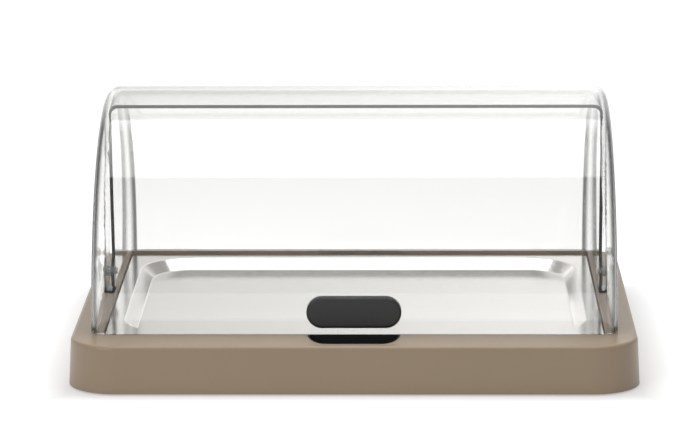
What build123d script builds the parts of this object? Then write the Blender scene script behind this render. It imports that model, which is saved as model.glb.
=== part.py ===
# Cold buffet display: a moulded base that holds cold packs under a steel serving
# tray, closed by two clear half-drum lids that roll over each other on one pivot axis.
# Frame: +Z up, Y towards the rear, origin on the table under the middle of the base.
import os
from math import asin, cos, degrees, pi, radians, sin, sqrt, tan

from build123d import *

# Base shell, outside sizes at its bottom rim
base_width = 440.0
base_height = 37.0
base_draft = 1.9
base_corner_radius = 38.0
base_top_fillet = 3.0
base_wall = 2.5
foot_standout = 1.2

# Opening in the top ring, measured from the pivot plane
side_ring_width = 24.1
opening_front = 146.0
opening_rear = 142.0
opening_corner_radius = 4.0
front_ring_width = 40.4
rear_ring_width = 10.0
opening_wall = 2.2
opening_wall_depth = 9.0
ledge_width = 6.0
ledge_thickness = 2.0

# Finger recesses in the ring, in front of and behind the tray
recess_width = 68.4
recess_front_depth = 28.3
recess_floor_width = 42.0
recess_rear_depth = 2.4
recess_drop = 9.0
cup_wall = 1.4
cup_clearance = 0.15

# Lids
pivot_height = 16.0
drum_radius = 149.7
lid_side_step = 9.5
lid_draft_angle = 0.7
lid_wall = 2.6
lid_edge_fillet = 11.0
shell_radial_gap = 1.0
shell_side_gap = 2.3
lid_seat_gap = 0.3
front_lid_back_angle = 104.0
rear_lid_lean_angle = 14.3
pivot_lug_radius = 13.4

# Pivots
pin_radius = 2.0
pin_running_clearance = 0.05
pin_head_radius = 3.0
pin_head_length = 1.7
pin_head_gap = 0.3
spacer_radius = 4.5
spacer_gap = 0.3
bracket_half_length = 12.0
bracket_foot_thickness = 2.0
bracket_cheek_thickness = 4.0
bracket_top_above_pivot = 6.5
bracket_side_gap = 0.5
bracket_foot_inset = 1.6
bracket_screw_offset = 7.5
bracket_screw_radius = 1.25
bracket_screw_head_radius = 2.4
bracket_screw_head_height = 1.6
bracket_screw_grip = 7.0

# Lid handle
handle_width = 73.0
handle_height = 24.2
handle_centre_height = 18.6
handle_standout = 7.0
handle_edge_fillet = 2.6
handle_screw_spacing = 40.0
handle_screw_radius = 1.5
handle_screw_head_radius = 2.9
handle_screw_head_height = 1.4
handle_screw_length = 7.0
handle_screw_sink = 0.25
screw_clearance = 0.05

# Serving tray, pressed from sheet
tray_sheet = 0.8
tray_clearance = 0.6
tray_rim_drop = 2.2
tray_hem_height = 3.0
tray_side_rim = 12.0
tray_end_rim = 15.0
tray_slope_width = 9.0
tray_depth = 9.0
tray_well_radius = 42.0
tray_crease_radius = 1.6

# Tub, insulation and cold packs
tub_wall = 1.5
tub_clearance = 0.5
tub_corner_radius = 10.0
foam_clearance = 0.3
foam_side = 5.0
foam_floor = 3.2
pack_gap = 4.0
pack_side_clearance = 3.0
pack_corner_radius = 12.0
pack_edge_fillet = 3.0
pack_tray_gap = 0.4
pack_floor_gap = 0.3
pack_cap_radius = 8.0
pack_cap_sink = 1.6
pack_cap_clearance = 0.2
pack_cap_inset = 24.0

# Bottom cover, its screws and the feet
cover_thickness = 2.5
cover_recess = 0.5
cover_clearance = 0.3
boss_radius = 4.0
boss_hole_radius = 1.5
boss_gap = 0.2
cover_screw_radius = 1.5
cover_screw_length = 12.0
cover_screw_head_radius = 2.8
cover_screw_head_height = 1.5
foot_radius = 8.0
foot_seat_depth = 0.8
foot_seat_clearance = 0.2
foot_inset_x = 40.0
foot_inset_y = 36.0
foot_edge_fillet = 0.6

# Heights and places that follow from the sizes above
rim_z = foot_standout
ring_z = rim_z + base_height
pivot_z = ring_z + pivot_height
shell_front = opening_front + front_ring_width
shell_rear = opening_rear + rear_ring_width
pivot_y = (shell_front - shell_rear) / 2
top_half_width = base_width / 2 - base_draft
opening_half = top_half_width - side_ring_width
lid_half_width = opening_half + lid_side_step
ledge_top = ring_z - opening_wall_depth + ledge_thickness
rear_drum_radius = drum_radius - lid_wall - shell_radial_gap
rear_lid_half_width = lid_half_width - lid_wall - shell_side_gap
draft_slope = tan(radians(lid_draft_angle))
tray_top_z = ring_z - tray_rim_drop
tray_floor_z = tray_top_z - tray_depth - tray_sheet
cover_bottom_z = rim_z + cover_recess
cover_top_z = cover_bottom_z + cover_thickness
foam_bottom_z = cover_top_z + foam_clearance
tub_bottom_z = foam_bottom_z + foam_floor + foam_clearance
pack_bottom_z = tub_bottom_z + tub_wall + pack_floor_gap
pack_top_z = tray_floor_z - pack_tray_gap


def block(half_width, front, rear, radius, low, high):
    """Upright block with rounded corners; front and rear are distances from the pivot plane."""
    outline = RectangleRounded(2 * half_width, front + rear, radius)
    return Pos(0, pivot_y + (rear - front) / 2, low) * extrude(outline, high - low)


def tapered_block(half_width, front, rear, radius, low, high, spread):
    """Block whose sides lean outwards by spread from its top to its bottom."""
    y = pivot_y + (rear - front) / 2
    top = RectangleRounded(2 * half_width, front + rear, radius)
    wide = RectangleRounded(2 * (half_width + spread), front + rear + 2 * spread, radius + spread)
    return loft([Pos(0, y, low) * wide, Pos(0, y, high) * top], ruled=True)


def rod(radius, start, direction, length):
    """Round bar from a start point along a direction."""
    return Plane(origin=start, z_dir=direction) * extrude(Circle(radius), length)


def cover_screw_places():
    """Six places for the bosses: two in the front ring, two in each side ring."""
    side_x = (opening_half + opening_wall + top_half_width - base_wall) / 2
    front_y = pivot_y - opening_front - front_ring_width / 2
    side_span = opening_rear * 0.7
    places = [(x, front_y) for x in (-opening_half / 2, opening_half / 2)]
    for x in (-side_x, side_x):
        places += [(x, pivot_y - side_span), (x, pivot_y + side_span)]
    return places


def front_recess_cut(margin):
    """Finger recess in the front ring, grown by margin on every side."""
    wall_face = pivot_y - opening_front - opening_wall - cup_clearance
    rear = wall_face - cup_wall + margin
    front = wall_face - recess_front_depth - margin
    half = recess_width / 2 + margin
    flat = recess_floor_width / 2
    corner = half - flat
    curve = [(half - corner * (1 - cos(a)), rear - (rear - front) * sin(a))
             for a in [radians(15 * i) for i in range(7)]]
    left = [(-x, y) for x, y in reversed(curve)]
    outline = Wire([Spline(*curve, tangents=((0, -1), (-1, 0))).edge(), Line(curve[-1], left[0]).edge(),
                    Spline(*left, tangents=((-1, 0), (0, 1))).edge(), Line(left[-1], curve[0]).edge()])
    low = ring_z - recess_drop - margin
    return Pos(0, 0, low) * extrude(make_face(outline), recess_drop + margin + 1, dir=(0, 0, 1))


def rear_recess_cut(margin):
    """Finger recess at the rear, open towards the tray, grown by margin on its closed sides."""
    width = recess_width + 2 * margin
    depth = recess_rear_depth + margin + 1
    height = recess_drop + margin + 1
    y = pivot_y + opening_rear - 1 + depth / 2
    return Pos(0, y, ring_z - recess_drop - margin + height / 2) * Box(width, depth, height)


def make_base_shell():
    """Hollow moulded shell with a flat top ring, an opening wall with a ledge, and screw bosses."""
    top_radius = base_corner_radius - base_draft
    body = tapered_block(top_half_width, shell_front, shell_rear, top_radius, rim_z, ring_z, base_draft)
    body = fillet(body.faces().sort_by(Axis.Z)[-1].edges(), base_top_fillet)
    hollow = tapered_block(top_half_width - base_wall, shell_front - base_wall, shell_rear - base_wall,
                           top_radius - base_wall, rim_z, ring_z - base_wall, base_draft)
    shell = body - hollow
    wall_low = ring_z - opening_wall_depth
    shell += block(opening_half + opening_wall, opening_front + opening_wall, opening_rear + opening_wall,
                   opening_corner_radius + opening_wall, wall_low, ring_z - base_wall / 2)
    for x, y in cover_screw_places():
        shell += rod(boss_radius, (x, y, cover_top_z + boss_gap), (0, 0, 1),
                     ring_z - base_wall / 2 - cover_top_z - boss_gap)
    shell -= block(opening_half, opening_front, opening_rear, opening_corner_radius, ledge_top, ring_z + 1)
    shell -= block(opening_half - ledge_width, opening_front - ledge_width, opening_rear - ledge_width,
                   opening_corner_radius + ledge_width, wall_low - 1, ring_z)
    for x, y in cover_screw_places():
        shell -= rod(boss_hole_radius, (x, y, rim_z), (0, 0, 1), cover_screw_length + cover_top_z)
    shell -= front_recess_cut(cup_wall + cup_clearance)
    shell -= rear_recess_cut(cup_wall + cup_clearance)
    for side in (-1, 1):
        for end in (-1, 1):
            shell -= rod(bracket_screw_radius + screw_clearance, bracket_screw_start(side, end), (0, 0, 1),
                         bracket_screw_grip)
    return shell


def make_front_cup():
    """Dark cup that lines the front finger recess."""
    cup = front_recess_cut(cup_wall) - front_recess_cut(0)
    flush = Pos(0, pivot_y, ring_z + recess_drop / 2) * Box(base_width, base_width, recess_drop)
    return cup - flush


def make_rear_cup():
    """Dark channel that lines the rear finger recess, open above and towards the tray."""
    cup = rear_recess_cut(cup_wall) - rear_recess_cut(0)
    flush = Pos(0, pivot_y, ring_z + recess_drop / 2) * Box(base_width, base_width, recess_drop)
    inside = Pos(0, pivot_y + opening_rear + tray_clearance / 2 - 5, ring_z) * Box(base_width, 10, base_width)
    return cup - flush - inside


def make_bottom_cover():
    """Flat plate let into the shell's open underside, with seats for the feet and screw heads."""
    spread = base_draft * (1 - cover_recess / base_height)
    inset = base_wall + cover_clearance
    lean = base_draft * cover_thickness / base_height
    cover = tapered_block(top_half_width + spread - lean - inset, shell_front + spread - lean - inset,
                          shell_rear + spread - lean - inset, base_corner_radius - lean - inset,
                          cover_bottom_z, cover_top_z, lean)
    for x, y in foot_places():
        cover -= rod(foot_radius + foot_seat_clearance, (x, y, rim_z), (0, 0, 1), cover_recess + foot_seat_depth)
    for x, y in cover_screw_places():
        cover -= rod(cover_screw_radius + screw_clearance, (x, y, rim_z), (0, 0, 1), cover_thickness * 2)
        cover -= rod(cover_screw_head_radius + 2 * screw_clearance, (x, y, rim_z), (0, 0, 1),
                     cover_recess + cover_screw_head_height)
    return cover


def make_cover_screws():
    """Pan screws that hold the cover, one solid each."""
    screws = []
    head_low = cover_bottom_z
    for x, y in cover_screw_places():
        head = rod(cover_screw_head_radius, (x, y, head_low), (0, 0, 1), cover_screw_head_height)
        shank = rod(cover_screw_radius, (x, y, head_low), (0, 0, 1), cover_screw_length)
        screws.append(head + shank)
    return Compound(children=[s.solid() for s in screws])


def foot_places():
    """Four places near the corners of the cover."""
    x = base_width / 2 - foot_inset_x
    return [(-x, pivot_y - shell_front + foot_inset_y), (x, pivot_y - shell_front + foot_inset_y),
            (-x, pivot_y + shell_rear - foot_inset_y), (x, pivot_y + shell_rear - foot_inset_y)]


def make_foot(x, y):
    """Round rubber foot glued into its seat in the cover."""
    foot = rod(foot_radius, (x, y, 0), (0, 0, 1), foot_standout + cover_recess + foot_seat_depth)
    return fillet(foot.edges().group_by(Axis.Z)[0], foot_edge_fillet)


def tub_block(inset, low, high):
    """Space of the tub, drawn in by inset from its outside."""
    edge = ledge_width + tub_clearance + inset
    return block(opening_half - edge, opening_front - edge, opening_rear - edge,
                 tub_corner_radius - inset, low, high)


def make_tub():
    """White inner tub that hangs by its flange on the ledge and holds the cold packs."""
    flange_top = ledge_top + tub_wall
    flange = block(opening_half - tub_clearance, opening_front - tub_clearance, opening_rear - tub_clearance,
                   opening_corner_radius, ledge_top, flange_top)
    return flange + tub_block(0, tub_bottom_z, flange_top) - tub_block(tub_wall, tub_bottom_z + tub_wall, ring_z)


def make_foam_tray():
    """Black foam insulation under and around the tub."""
    out = ledge_width - foam_side
    foam = block(opening_half - out, opening_front - out, opening_rear - out, opening_corner_radius,
                 foam_bottom_z, ring_z - opening_wall_depth - foam_clearance)
    return foam - tub_block(-foam_clearance, foam_bottom_z + foam_floor, ring_z)


def pack_half_width():
    room = opening_half - ledge_width - tub_clearance - tub_wall - pack_side_clearance
    return (room - pack_gap / 2) / 2


def pack_centre_x(side):
    return side * (pack_gap / 2 + pack_half_width())


def pack_front_rear():
    edge = ledge_width + tub_clearance + tub_wall + pack_side_clearance
    return opening_front - edge, opening_rear - edge


def pack_cap_place(side):
    front, rear = pack_front_rear()
    return pack_centre_x(side), pivot_y - front + pack_cap_inset


def make_cold_pack(side):
    """Flat plastic bottle filled with gel, with a well for its filler cap."""
    front, rear = pack_front_rear()
    pack = Pos(pack_centre_x(side), 0, 0) * block(pack_half_width(), front, rear, pack_corner_radius,
                                                   pack_bottom_z, pack_top_z)
    flat_edges = pack.faces().sort_by(Axis.Z)[-1].edges() + pack.faces().sort_by(Axis.Z)[0].edges()
    pack = fillet(flat_edges, pack_edge_fillet)
    x, y = pack_cap_place(side)
    well = rod(pack_cap_radius + pack_cap_clearance, (x, y, pack_top_z), (0, 0, -1),
               2 * pack_cap_sink + pack_cap_clearance)
    return pack - well


def make_pack_cap(side):
    """Slotted filler cap, sunk below the pack's top."""
    x, y = pack_cap_place(side)
    low = pack_top_z - 2 * pack_cap_sink - pack_cap_clearance
    cap = rod(pack_cap_radius, (x, y, low), (0, 0, 1), pack_cap_sink * 1.8)
    slot = Pos(x, y, low + pack_cap_sink * 1.8) * Box(1.4 * pack_cap_radius, 2.0, pack_cap_sink)
    return cap - slot


def tray_well(grow):
    """Inside of the tray's well, grown by grow for the outside of the sheet."""
    half = opening_half - tray_clearance - tray_side_rim + grow
    front = opening_front - tray_clearance - tray_end_rim + grow
    rear = opening_rear - tray_clearance - tray_end_rim + grow
    y = pivot_y + (rear - front) / 2
    top = RectangleRounded(2 * half, front + rear, tray_well_radius + grow)
    low = RectangleRounded(2 * (half - tray_slope_width), front + rear - 2 * tray_slope_width,
                           tray_well_radius + grow - tray_slope_width)
    floor = tray_top_z - tray_depth - grow
    well = loft([Pos(0, y, floor) * low, Pos(0, y, floor + tray_depth) * top], ruled=True)
    radius = tray_crease_radius + grow
    well = fillet(well.faces().sort_by(Axis.Z)[0].edges(), radius)
    if grow > 0:
        well += block(half, front, rear, tray_well_radius + grow, floor + tray_depth, tray_top_z)
    return well


def make_tray():
    """Polished serving tray: flat rim with a turned-down hem, sloped sides, flat floor."""
    half = opening_half - tray_clearance
    front = opening_front - tray_clearance
    rear = opening_rear - tray_clearance
    radius = opening_corner_radius
    rim = block(half, front, rear, radius, tray_top_z - tray_hem_height, tray_top_z)
    rim = fillet(rim.faces().sort_by(Axis.Z)[-1].edges(), tray_sheet)
    rim -= block(half - tray_sheet, front - tray_sheet, rear - tray_sheet, radius - tray_sheet,
                 tray_top_z - tray_hem_height, tray_top_z - tray_sheet)
    tray = rim + tray_well(tray_sheet) - tray_well(0)
    inner = [e for e in tray.edges() if abs(e.center().Z - tray_top_z) < 0.01 and on_well_edge(e)]
    return fillet(inner, tray_crease_radius)


def on_well_edge(edge):
    """True for an edge of the well's mouth, which lies inside the rim's outer edge."""
    box = edge.bounding_box()
    half = opening_half - tray_clearance - tray_side_rim + 0.1
    low = pivot_y - opening_front + tray_clearance + tray_end_rim - 0.1
    high = pivot_y + opening_rear - tray_clearance - tray_end_rim + 0.1
    return box.min.X > -half and box.max.X < half and box.min.Y > low and box.max.Y < high


def drum(radius, half_width, fillet_radius):
    """Drum about the pivot axis, cut by two side planes that lean in towards the top."""
    barrel = rod(radius, (-base_width, pivot_y, pivot_z), (1, 0, 0), 2 * base_width)
    low = pivot_z - radius - 1
    high = pivot_z + radius + 1
    low_half = half_width + (ring_z - low) * draft_slope
    high_half = half_width - (high - ring_z) * draft_slope
    section = Polyline((-low_half, low), (low_half, low), (high_half, high), (-high_half, high), close=True)
    prism = Pos(0, pivot_y, 0) * extrude(make_face(Plane.XZ * section), radius + 1, both=True)
    solid = barrel & prism
    rims = [e for e in solid.edges() if e.bounding_box().size.Y > radius]
    return fillet(rims, fillet_radius)


def hollow_drum(radius, half_width, fillet_radius):
    return drum(radius, half_width, fillet_radius) - drum(radius - lid_wall, half_width - lid_wall,
                                                          fillet_radius - lid_wall)


def sector(start_angle, end_angle):
    """Wedge about the pivot axis; angles run from the front, over the top, to the rear."""
    reach = 2 * drum_radius
    points = [(pivot_y, pivot_z)]
    steps = 6
    for i in range(steps + 1):
        a = radians(start_angle + (end_angle - start_angle) * i / steps)
        points.append((pivot_y - reach * cos(a), pivot_z + reach * sin(a)))
    face = make_face(Plane.YZ * Polyline(*points, close=True))
    return extrude(face, base_width, both=True)


def above_seat():
    """Everything higher than the lids' seat, less the room over the bracket feet."""
    size = 3 * drum_radius
    low = ring_z + lid_seat_gap
    space = Pos(0, pivot_y, low + size / 2) * Box(2 * base_width, 2 * size, size)
    foot_room = bracket_half_length + 0.6
    foot_top = ring_z + bracket_foot_thickness + 0.5
    return space - Pos(0, pivot_y, foot_top - 5) * Box(2 * base_width, 2 * foot_room, 10)


def lid_shell(radius, half_width, fillet_radius, start_angle, end_angle):
    """One rolling shell with its pivot lugs and pivot holes."""
    walls = hollow_drum(radius, half_width, fillet_radius)
    lug = rod(pivot_lug_radius, (-base_width, pivot_y, pivot_z), (1, 0, 0), 2 * base_width)
    shell = walls & (sector(start_angle, end_angle) + lug) & above_seat()
    return shell - rod(pin_radius + pin_running_clearance, (-base_width, pivot_y, pivot_z), (1, 0, 0),
                       2 * base_width)


def handle_screw_places():
    return [(x, ring_z + handle_centre_height) for x in (-handle_screw_spacing / 2, handle_screw_spacing / 2)]


def wall_front_y(radius, z):
    """Y of the front of a drum of this radius at height z."""
    return pivot_y - sqrt(radius ** 2 - (z - pivot_z) ** 2)


def handle_screw(x, z, grow):
    """Countersunk screw, its head just under the lid's inner face; grow widens it for its hole."""
    back = wall_front_y(drum_radius - lid_wall, z) - handle_screw_sink
    cone = Plane(origin=(x, back, z), z_dir=(0, -1, 0))
    head = loft([cone * Circle(handle_screw_head_radius + grow),
                 cone.offset(handle_screw_head_height) * Circle(handle_screw_radius + grow)], ruled=True)
    return head + rod(handle_screw_radius + grow, (x, back, z), (0, -1, 0), handle_screw_length + grow)


def make_front_lid():
    """Outer shell, from the front edge up and just past the crown; it carries the handle."""
    lid = lid_shell(drum_radius, lid_half_width, lid_edge_fillet, -90.0, front_lid_back_angle)
    for x, z in handle_screw_places():
        lid -= handle_screw(x, z, screw_clearance)
        back = wall_front_y(drum_radius - lid_wall, z)
        lid -= rod(handle_screw_head_radius + screw_clearance, (x, back + 1, z), (0, -1, 0), 1 + handle_screw_sink)
    return lid


def make_rear_lid():
    """Inner shell, from just forward of the crown down to the rear edge."""
    return lid_shell(rear_drum_radius, rear_lid_half_width, lid_edge_fillet - lid_wall,
                     90.0 - rear_lid_lean_angle, 270.0)


def make_handle():
    """Full-round grip plate that follows the lid's curve behind and is softly rounded in front."""
    z = ring_z + handle_centre_height
    front = pivot_y - drum_radius - handle_standout
    face = Plane(origin=(0, front, z), x_dir=(1, 0, 0), z_dir=(0, 1, 0))
    grip = extrude(face * SlotOverall(handle_width, handle_height), 2 * handle_standout)
    grip = fillet(grip.faces().sort_by(Axis.Y)[0].edges(), handle_edge_fillet)
    grip -= rod(drum_radius, (-handle_width, pivot_y, pivot_z), (1, 0, 0), 2 * handle_width)
    for x, screw_z in handle_screw_places():
        grip -= handle_screw(x, screw_z, 0.0)
    return grip


def make_handle_screws():
    return Compound(children=[handle_screw(x, z, 0.0).solid() for x, z in handle_screw_places()])


def lid_outer_x():
    """Outer face of the front lid's side wall at the pivot."""
    return lid_half_width - pivot_height * draft_slope


def rear_inner_x():
    """Inner face of the rear lid's side wall at the pivot."""
    return rear_lid_half_width - lid_wall - pivot_height * draft_slope


def cheek_inner_x():
    return lid_outer_x() + bracket_side_gap


def make_bracket(side):
    """Clear hinge bracket: a foot on the ring under both walls and one upright cheek outside them."""
    inner = opening_half + bracket_foot_inset
    outer = cheek_inner_x() + bracket_cheek_thickness
    foot = Pos(side * (inner + outer) / 2, pivot_y, ring_z + bracket_foot_thickness / 2) * Box(
        outer - inner, 2 * bracket_half_length, bracket_foot_thickness)
    height = pivot_height + bracket_top_above_pivot
    cheek = Pos(side * (cheek_inner_x() + bracket_cheek_thickness / 2), pivot_y, ring_z + height / 2) * Box(
        bracket_cheek_thickness, 2 * bracket_half_length, height)
    upper = cheek.faces().sort_by(Axis.Z)[-1].edges().filter_by(Axis.X)
    cheek = fillet(upper, bracket_half_length * 0.6)
    bracket = foot + cheek
    bracket -= rod(pin_radius, (-base_width, pivot_y, pivot_z), (1, 0, 0), 2 * base_width)
    for end in (-1, 1):
        bracket -= rod(bracket_screw_radius, bracket_screw_start(side, end), (0, 0, 1),
                       bracket_screw_grip + base_wall)
    return bracket


def bracket_screw_start(side, end):
    """Underside of the ring, below the bracket's cheek."""
    x = side * (cheek_inner_x() + bracket_cheek_thickness / 2)
    return x, pivot_y + end * bracket_screw_offset, ring_z - base_wall


def make_bracket_screws():
    """Four small screws driven up from inside the shell, one solid each."""
    screws = []
    for side in (-1, 1):
        for end in (-1, 1):
            x, y, z = bracket_screw_start(side, end)
            head = rod(bracket_screw_head_radius, (x, y, z), (0, 0, -1), bracket_screw_head_height)
            screws.append(head + rod(bracket_screw_radius, (x, y, z), (0, 0, 1), bracket_screw_grip + base_wall))
    return Compound(children=[s.solid() for s in screws])


def make_pin(side):
    """Pivot pin held in the bracket's cheek, with a domed head inside the rear lid."""
    head_outer = rear_inner_x() - pin_head_gap
    shank_end = cheek_inner_x() + bracket_cheek_thickness
    shank = rod(pin_radius, (side * (head_outer - 0.5), pivot_y, pivot_z), (side, 0, 0), shank_end - head_outer + 0.5)
    head = rod(pin_head_radius, (side * head_outer, pivot_y, pivot_z), (-side, 0, 0), pin_head_length)
    dome = head.faces().sort_by(Axis.X)[0 if side > 0 else -1].edges()
    return fillet(dome, pin_head_length * 0.8) + shank


def make_spacer(side):
    """Washer on the pin that keeps the two shells apart."""
    inner = rear_lid_half_width - pivot_height * draft_slope + spacer_gap
    thickness = shell_side_gap - 2 * spacer_gap
    ring = rod(spacer_radius, (side * inner, pivot_y, pivot_z), (side, 0, 0), thickness)
    return ring - rod(pin_radius, (-base_width, pivot_y, pivot_z), (1, 0, 0), 2 * base_width)


sides = {"left": -1, "right": 1}
parts = {
    "base_shell": make_base_shell(),
    "front_finger_cup": make_front_cup(),
    "rear_finger_cup": make_rear_cup(),
    "bottom_cover": make_bottom_cover(),
    "cover_screws": make_cover_screws(),
    "inner_tub": make_tub(),
    "foam_insulation": make_foam_tray(),
    "serving_tray": make_tray(),
    "front_lid": make_front_lid(),
    "rear_lid": make_rear_lid(),
    "lid_handle": make_handle(),
    "handle_screws": make_handle_screws(),
    "bracket_screws": make_bracket_screws(),
}
foot_names = ["foot_front_left", "foot_front_right", "foot_rear_left", "foot_rear_right"]
for name, place in zip(foot_names, foot_places()):
    parts[name] = make_foot(*place)
for name, side in sides.items():
    parts["cold_pack_" + name] = make_cold_pack(side)
    parts["cold_pack_cap_" + name] = make_pack_cap(side)
    parts["pivot_bracket_" + name] = make_bracket(side)
    parts["pivot_pin_" + name] = make_pin(side)
    parts["pivot_spacer_" + name] = make_spacer(side)

os.makedirs("parts", exist_ok=True)
for name, shape in parts.items():
    export_step(shape, "parts/" + name + ".step")
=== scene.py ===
from math import cos, radians, sin

import bpy
from mathutils import Matrix, Vector

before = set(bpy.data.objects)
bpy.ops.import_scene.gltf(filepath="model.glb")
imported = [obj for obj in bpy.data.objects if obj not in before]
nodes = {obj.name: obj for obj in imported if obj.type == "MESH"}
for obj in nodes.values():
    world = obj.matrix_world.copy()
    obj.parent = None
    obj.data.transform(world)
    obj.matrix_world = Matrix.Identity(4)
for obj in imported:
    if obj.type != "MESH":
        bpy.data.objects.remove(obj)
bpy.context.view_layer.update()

# The camera stands about 2.7 m in front of the display and 0.7 m above the table, with a long
# lens, and looks slightly down and to the left, as the photograph does.
camera_place = Vector((0.042379, -2.706239, 0.690787))
turn = radians(-1.004)
tip = radians(12.384)
roll = radians(-0.241)
forward = Vector((sin(turn) * cos(tip), cos(turn) * cos(tip), -sin(tip)))
level = forward.cross(Vector((0, 0, 1))).normalized()
upright = level.cross(forward)
across = level * cos(roll) + upright * sin(roll)
upwards = upright * cos(roll) - level * sin(roll)
camera_data = bpy.data.cameras.new("camera")
camera_data.sensor_width = 36.0
camera_data.sensor_fit = "HORIZONTAL"
camera_data.lens = 177.315
camera_data.clip_start = 0.05
camera_data.clip_end = 60.0
camera = bpy.data.objects.new("camera", camera_data)
bpy.context.scene.collection.objects.link(camera)
turned = Matrix((across, upwards, -forward)).transposed().to_4x4()
camera.matrix_world = Matrix.Translation(camera_place) @ turned
bpy.context.scene.camera = camera
bpy.context.scene.view_settings.view_transform = "Standard"

# The table is a plain white sweep. Its own grey keeps the object's soft shadow. Where the camera,
# polished metal or clear plastic sees it, it also gives off light, and less so beside the base, which paints
# a shadow round it.


def linear(hex_colour):
    """sRGB hex to linear colour."""
    values = [int(hex_colour[i:i + 2], 16) / 255 for i in (1, 3, 5)]
    return [v / 12.92 if v <= 0.04045 else ((v + 0.055) / 1.055) ** 2.4 for v in values] + [1.0]


def add(owner, kind, settings=None, links=None):
    """Adds one node with its property or input settings, and links (input name -> output socket)."""
    tree = owner.node_tree
    node = tree.nodes.new(kind)
    for name, value in (settings or {}).items():
        if isinstance(name, str) and hasattr(node, name):
            setattr(node, name, value)
        else:
            node.inputs[name].default_value = value
    for name, socket in (links or {}).items():
        tree.links.new(socket, node.inputs[name])
    return node


def calculate(owner, operation, *operands):
    """The result of one sum. Each operand is a number or an output socket."""
    settings = {"operation": operation}
    links = {}
    for index, operand in enumerate(operands):
        chosen = settings if isinstance(operand, float) else links
        chosen[index] = operand
    return add(owner, "ShaderNodeMath", settings, links).outputs[0]


def ranged(owner, value, start=0.0, end=1.0, low=0.0, high=1.0, curve="LINEAR"):
    """Takes a value from start..end to low..high, and holds it at both ends."""
    reach = {"From Min": start, "From Max": end, "To Min": low, "To Max": high}
    settings = {"interpolation_type": curve, **reach}
    return add(owner, "ShaderNodeMapRange", settings, {"Value": value}).outputs["Result"]


def object_place(owner):
    """The place on the object, in its own metres."""
    return add(owner, "ShaderNodeTexCoord").outputs["Object"]


def axis_part(owner, vector, axis):
    return add(owner, "ShaderNodeSeparateXYZ", {}, {"Vector": vector}).outputs[axis]


def aside(owner, vector, axis="X"):
    """How far a vector reaches to either side along one axis."""
    return calculate(owner, "ABSOLUTE", axis_part(owner, vector, axis))


def seen(owner):
    """1 for what the camera, polished metal or clear plastic sees, and 0 for light on matt surfaces."""
    ray = add(owner, "ShaderNodeLightPath")
    direct = calculate(owner, "MAXIMUM", ray.outputs["Is Camera Ray"], ray.outputs["Is Glossy Ray"])
    return calculate(owner, "MAXIMUM", direct, ray.outputs["Is Transmission Ray"])


def new_material(name):
    material = bpy.data.materials.new(name)
    material.use_nodes = True
    material.node_tree.nodes.clear()
    return material


def finish_with(material, shader):
    add(material, "ShaderNodeOutputMaterial", {}, {"Surface": shader.outputs[0]})


base_half_width = 0.22
base_half_depth = 0.171
table_paint = new_material("white_table_paint")
paint = add(table_paint, "ShaderNodeBsdfDiffuse", {"Color": linear("#C4C4C4")})
place = object_place(table_paint)
past_side = calculate(table_paint, "SUBTRACT", aside(table_paint, place, "X"), base_half_width)
past_front = calculate(table_paint, "SUBTRACT", aside(table_paint, place, "Y"), base_half_depth)
past = calculate(table_paint, "MAXIMUM", past_side, past_front)
# painted shadow: the table's glow is weaker near the base, which darkens the table round it
glow_with_painted_shadow = ranged(table_paint, past, end=0.04, low=0.42, high=0.82)
glow = add(table_paint, "ShaderNodeEmission", {"Color": linear("#FFFFFF")}, {"Strength": glow_with_painted_shadow})
nothing = add(table_paint, "ShaderNodeEmission", {"Strength": 0.0})
glow_if_seen = add(table_paint, "ShaderNodeMixShader", {},
                   {0: seen(table_paint), 1: nothing.outputs[0], 2: glow.outputs[0]})
sum_up = add(table_paint, "ShaderNodeAddShader", {}, {0: paint.outputs[0], 1: glow_if_seen.outputs[0]})
finish_with(table_paint, sum_up)

bpy.ops.mesh.primitive_plane_add(size=12.0, location=(0, 0, 0))
table = bpy.context.active_object
table.name = "table"
table.data.materials.append(table_paint)

# The studio round it is an even pale room with a white wall behind the display. Polished metal
# sees that wall in uneven tones, darkest left of its middle. Two soft lamps light the display,
# one above it and one in front.
room_strength = 0.45
wall_strength = 1.0
world = bpy.data.worlds.new("studio")
bpy.context.scene.world = world
world.use_nodes = True
world.node_tree.nodes.clear()
room_light = add(world, "ShaderNodeBackground", {"Color": linear("#FFFFFF"), "Strength": room_strength})
heading = add(world, "ShaderNodeTexCoord").outputs["Generated"]
to_right = axis_part(world, heading, "X")
to_back = axis_part(world, heading, "Y")
wall_width = ranged(world, aside(world, heading), start=0.42, end=0.62, low=1.0, high=0.0, curve="SMOOTHSTEP")
wall_depth = ranged(world, to_back, start=0.3, end=0.55, curve="SMOOTHSTEP")
wall = calculate(world, "MULTIPLY", wall_width, wall_depth)
rising = ranged(world, to_right, start=-0.14, end=0.12, low=0.85, high=1.32, curve="SMOOTHSTEP")
outer_fall = ranged(world, to_right, start=0.13, end=0.2, high=-0.3)
outer_lift = ranged(world, to_right, start=-0.13, end=-0.2, high=0.35)
slant = calculate(world, "ADD", calculate(world, "ADD", rising, outer_fall), outer_lift)
bounces = add(world, "ShaderNodeLightPath").outputs["Glossy Depth"]
mirrored = calculate(world, "GREATER_THAN", bounces, 0.5)
wall_tone = add(world, "ShaderNodeMix", {"data_type": "FLOAT", "A": wall_strength},
                {"Factor": mirrored, "B": slant})
lit = add(world, "ShaderNodeMix", {"data_type": "FLOAT", "A": room_strength},
          {"Factor": wall, "B": wall_tone.outputs["Result"]})
white_wall = add(world, "ShaderNodeBackground", {"Color": linear("#FFFFFF")},
                 {"Strength": lit.outputs["Result"]})
room = add(world, "ShaderNodeMixShader", {},
           {0: seen(world), 1: room_light.outputs[0], 2: white_wall.outputs[0]})
add(world, "ShaderNodeOutputWorld", {}, {"Surface": room.outputs[0]})


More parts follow.
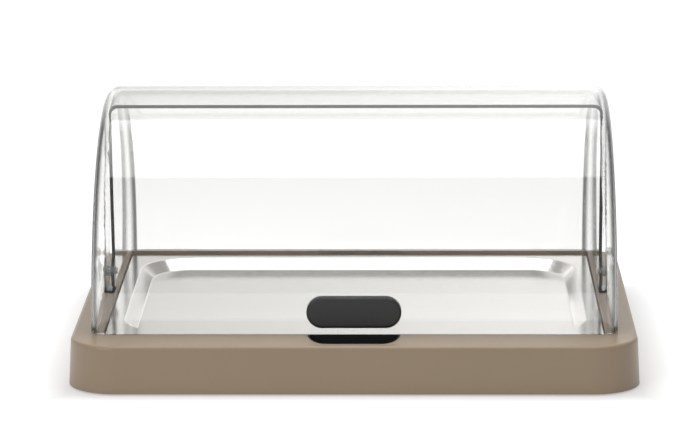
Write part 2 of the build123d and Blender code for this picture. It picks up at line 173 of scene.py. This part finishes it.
def soft_lamp(name, stand, target, width, depth, watts):
    data = bpy.data.lights.new(name, "AREA")
    data.shape = "RECTANGLE"
    data.size = width
    data.size_y = depth
    data.energy = watts
    lamp = bpy.data.objects.new(name, data)
    bpy.context.scene.collection.objects.link(lamp)
    lamp.location = stand
    lamp.visible_camera = False
    lamp.rotation_euler = (Vector(target) - Vector(stand)).to_track_quat("-Z", "Y").to_euler()


soft_lamp("lamp_above", (0.0, -0.012, 0.65), (0.0, -0.012, 0), width=0.66, depth=0.475, watts=2.4)
soft_lamp("lamp_front", (-1.3, -2.0, 1.2), (0, 0, 0.05), width=0.9, depth=0.9, watts=12.0)

# The base is one injection-moulded shell of taupe ABS with a fine satin grain. Its top is a
# flat ring with a small round edge, and the sides lean out a little towards the table.


def dress(name, material):
    """Gives a CAD node its better material."""
    node = nodes[name]
    node.data.materials.clear()
    node.data.materials.append(material)


def grain_of(material, scale, detail, where=None):
    """Fine noise that stays with the object."""
    if where is None:
        where = object_place(material)
    noise = add(material, "ShaderNodeTexNoise", {"Scale": scale, "Detail": detail}, {"Vector": where})
    return noise.outputs["Fac"]


def two_tones(material, share, first, second):
    """A colour between two hex colours, by a share of 0 to 1."""
    mix = add(material, "ShaderNodeMix", {"data_type": "RGBA"}, {"Factor": share})
    mix.inputs["A"].default_value = linear(first)
    mix.inputs["B"].default_value = linear(second)
    return mix.outputs["Result"]


def surface(material, grain, roughness, settings, relief=None, colour=None):
    """A surface whose roughness follows its grain, from low to high. Relief is strength and metres."""
    low, high = roughness
    links = {"Roughness": ranged(material, grain, low=low, high=high)}
    if relief is not None:
        settings_of_relief = {"Strength": relief[0], "Distance": relief[1]}
        bump = add(material, "ShaderNodeBump", settings_of_relief, {"Height": grain})
        links["Normal"] = bump.outputs["Normal"]
    if colour is not None:
        links["Base Color"] = colour
    finish_with(material, add(material, "ShaderNodeBsdfPrincipled", settings, links))


taupe_abs = new_material("taupe_moulded_abs")
cloud = grain_of(taupe_abs, 9.0, 2.0)
surface(taupe_abs, grain_of(taupe_abs, 1400.0, 2.0), (0.36, 0.43), {"IOR": 1.52}, relief=(0.08, 0.00005),
        colour=two_tones(taupe_abs, cloud, "#A69179", "#AA957D"))
dress("base_shell", taupe_abs)

# A cup lines each finger recess. The front one is matt black ABS, as is the bottom cover, and
# the rear one is moulded in the base's own colour.
black_abs = new_material("black_matt_abs")
surface(black_abs, grain_of(black_abs, 900.0, 3.0), (0.55, 0.7),
        {"IOR": 1.5, "Base Color": linear("#0E0E0E")}, relief=(0.1, 0.00005))
for name in ("front_finger_cup", "bottom_cover"):
    dress(name, black_abs)
dress("rear_finger_cup", taupe_abs)

# The serving tray is pressed from 0.8 mm stainless sheet and polished, so it mirrors the
# lids and the room, with faint straight polishing lines along its length.
polished_steel = new_material("polished_stainless_steel")
stretch = add(polished_steel, "ShaderNodeMapping", {}, {"Vector": object_place(polished_steel)})
stretch.inputs["Scale"].default_value = (6.0, 900.0, 900.0)
surface(polished_steel, grain_of(polished_steel, 1.0, 3.0, where=stretch.outputs["Vector"]), (0.12, 0.2),
        {"Metallic": 1.0, "Base Color": linear("#E9E8E6")}, relief=(0.03, 0.00002))
dress("serving_tray", polished_steel)

# The front lid is a drum shell of clear polycarbonate, 2.6 mm thick and mirror smooth. Its round
# side edges carry painted grey shade, standing in for the dark seen where they bend what is behind them away.
rear_rim_facing = (0.0, 0.969, 0.247)


def clear_plastic(name, painted_shade_part, sawn_roughness):
    """Clear polycarbonate with grey painted shade where the given mask is 1, and rough on the rear lid's sawn
    rim.
    """
    clear = new_material(name)
    place = object_place(clear)
    polish = ranged(clear, grain_of(clear, 12.0, 1.0), high=0.004)
    from_rim = add(clear, "ShaderNodeVectorMath", {"operation": "DOT_PRODUCT", 1: rear_rim_facing},
                   {0: place})
    sawn = ranged(clear, from_rim.outputs["Value"], start=0.0303, end=0.0307, low=sawn_roughness, high=0.0)
    # F8F8F7 is the clear plastic itself; #747474 is painted shade for the dark seen where light bends away
    lid_colour_with_painted_shade = two_tones(clear, painted_shade_part(clear, place), "#F8F8F7", "#747474")
    glass = add(clear, "ShaderNodeBsdfPrincipled", {"IOR": 1.5, "Transmission Weight": 1.0},
                {"Base Color": lid_colour_with_painted_shade, "Roughness": calculate(clear, "ADD", polish, sawn)})
    finish_with(clear, glass)
    return clear


def painted_side_edge_shade(clear, place):
    """1 where a side wall's edge turns between facing forwards and facing sideways; there grey shade is
    painted.
    """
    wall = ranged(clear, aside(clear, place), start=0.189, end=0.193)
    sideways = aside(clear, add(clear, "ShaderNodeNewGeometry").outputs["Normal"])
    not_flat = ranged(clear, sideways, start=0.97, end=0.995, low=1.0, high=0.0)
    turned_aside = ranged(clear, sideways, start=0.5, end=0.72)
    edge = calculate(clear, "MULTIPLY", not_flat, turned_aside)
    return calculate(clear, "MULTIPLY", wall, edge)


dress("front_lid", clear_plastic("clear_polycarbonate", painted_side_edge_shade, 0.0))

# The rear lid is the same drum shell a little narrower, so that the front lid slides over it.
# Light bends away in its round rear corners; one soft grey line of painted shade on each side stands in for
# that.


def painted_rear_corner_shade(clear, place):
    """1 in a narrow upright band at each rear corner, where a grey line of shade is painted."""
    inner = ranged(clear, aside(clear, place), start=0.1892, end=0.1902)
    outer = ranged(clear, aside(clear, place), start=0.192, end=0.1955, low=1.0, high=0.0)
    behind = ranged(clear, axis_part(clear, place, "Y"), start=0.06, end=0.13)
    band = calculate(clear, "MULTIPLY", inner, outer)
    return calculate(clear, "MULTIPLY", band, behind)


dress("rear_lid", clear_plastic("clear_polycarbonate_rear", painted_rear_corner_shade, 0.35))

# The two pivot brackets are thick clear polycarbonate blocks inside the lids, moulded and so
# a little less clear than the polished lids.
bracket_pc = new_material("clear_bracket_polycarbonate")
surface(bracket_pc, grain_of(bracket_pc, 60.0, 1.0), (0.02, 0.1),
        {"IOR": 1.5, "Base Color": linear("#FAFBFB"), "Transmission Weight": 1.0})
for name in ("pivot_bracket_left", "pivot_bracket_right"):
    dress(name, bracket_pc)

# The handle is a dark grey satin ABS grip plate, full round at both ends, screwed through
# the lid from inside.
grip_abs = new_material("dark_grey_satin_abs")
surface(grip_abs, grain_of(grip_abs, 1500.0, 2.0), (0.46, 0.56),
        {"IOR": 1.5, "Base Color": linear("#2B2B2B")}, relief=(0.1, 0.00005))
dress("lid_handle", grip_abs)

# The screws of the handle, the brackets and the bottom cover are turned stainless steel with a
# fine brushed finish.
turned_steel = new_material("turned_stainless_steel")
surface(turned_steel, grain_of(turned_steel, 2200.0, 2.0), (0.2, 0.34),
        {"Metallic": 1.0, "Base Color": linear("#CFCDC9")})
for name in nodes:
    if "screw" in name:
        dress(name, turned_steel)

# The smaller parts keep their plain works finishes: pale acetal pivot pins and spacers, a white
# polystyrene tub, black foam under it, blue cold packs with white caps, and black rubber feet.


def plain_plastic(name, colours, grain_scale, roughness, nodes_with_it):
    """A moulded or foamed plastic with fine grain between two close tones."""
    plastic = new_material(name)
    grain = grain_of(plastic, grain_scale, 3.0)
    surface(plastic, grain, roughness, {"IOR": 1.5}, relief=(0.15, 0.0001),
            colour=two_tones(plastic, grain, *colours))
    for node_name in nodes_with_it:
        dress(node_name, plastic)


plain_plastic("natural_acetal", ("#E4E2DC", "#EEECE6"), 900.0, (0.3, 0.4),
              ["pivot_pin_left", "pivot_pin_right", "pivot_spacer_left", "pivot_spacer_right"])
plain_plastic("white_polystyrene", ("#E2E2DF", "#E8E8E5"), 700.0, (0.38, 0.5), ["inner_tub"])
plain_plastic("black_closed_cell_foam", ("#1B1B1B", "#262626"), 350.0, (0.85, 0.95), ["foam_insulation"])
plain_plastic("blue_polyethylene", ("#2F6FA8", "#3A7BB4"), 500.0, (0.45, 0.55),
              ["cold_pack_left", "cold_pack_right"])
plain_plastic("white_polyethylene", ("#E6E7E8", "#EEEFF0"), 700.0, (0.4, 0.5),
              ["cold_pack_cap_left", "cold_pack_cap_right"])
plain_plastic("black_rubber", ("#161616", "#1D1D1D"), 600.0, (0.75, 0.88),
              ["foot_front_left", "foot_front_right", "foot_rear_left", "foot_rear_right"])
